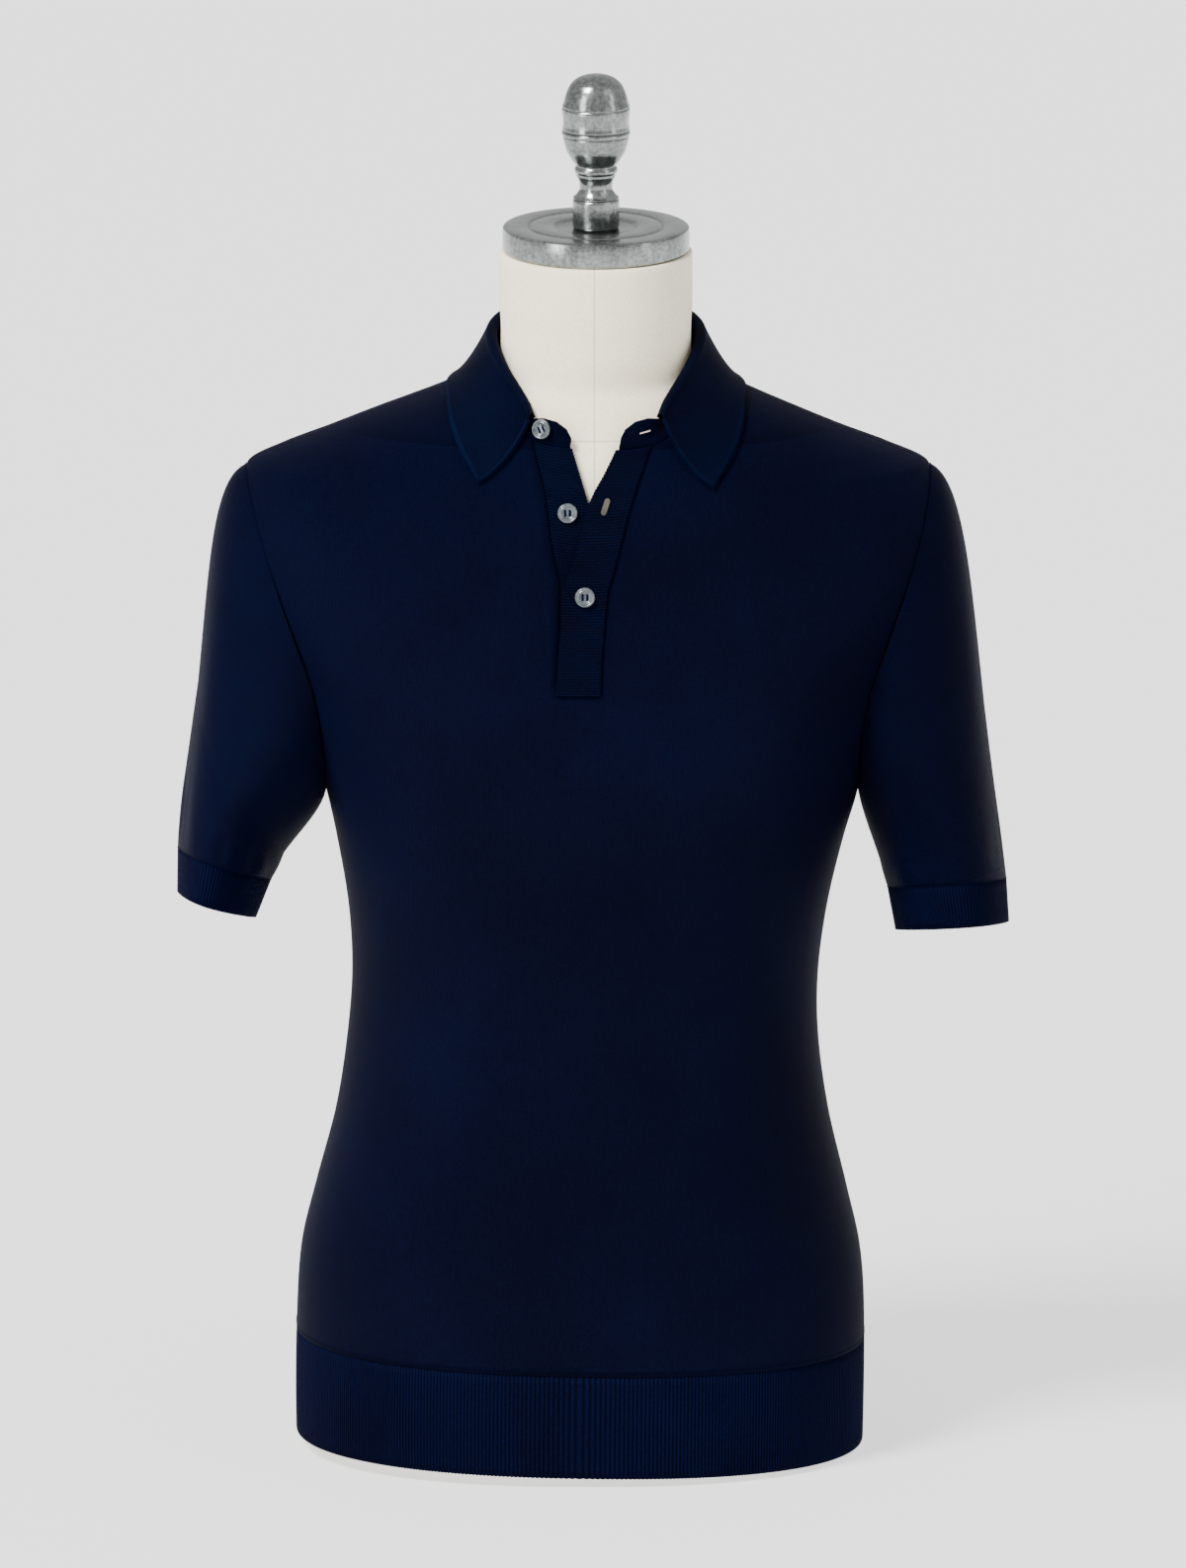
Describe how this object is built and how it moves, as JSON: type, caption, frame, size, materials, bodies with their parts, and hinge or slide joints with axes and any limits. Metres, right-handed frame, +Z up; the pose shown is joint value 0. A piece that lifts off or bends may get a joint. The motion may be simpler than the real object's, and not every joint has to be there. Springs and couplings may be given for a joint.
{
  "type": "polo shirt on a limbless dress form",
  "caption": "Short-sleeved knitted polo shirt with a ribbed hem and cuffs, open at the neck, worn on a limbless tailor's dress form with a turned metal cap and knob.",
  "frame": {"origin": "on the floor under the neck's axis, in the flat base of the dress form", "axes": "+Z up, -Y towards the front of the shirt, +X to the right of someone who looks at the front"},
  "size_m": [0.5337, 0.2468, 0.8979],
  "materials": {
    "jersey": "fine plain-knit cotton jersey",
    "rib_knit": "one-by-one rib knit",
    "collar_knit": "close flat knit",
    "pearl_button": "grey pearl",
    "canvas": "smooth cotton canvas over padding",
    "pewter": "turned and brushed grey metal"
  },
  "bodies": {
    "root": {"front": "jersey", "back": "jersey", "hem_front": "rib_knit", "hem_back": "rib_knit", "sleeve_left": "jersey", "sleeve_right": "jersey", "cuff_left": "rib_knit", "cuff_right": "rib_knit", "collar": "collar_knit", "collar_band": "collar_knit", "placket_under": "collar_knit", "placket_over": "collar_knit", "button_1": "pearl_button", "button_2": "pearl_button", "button_3": "pearl_button", "form_body": "canvas", "neck_cap": "pewter", "finial": "pewter"}
  },
  "joints": []
}
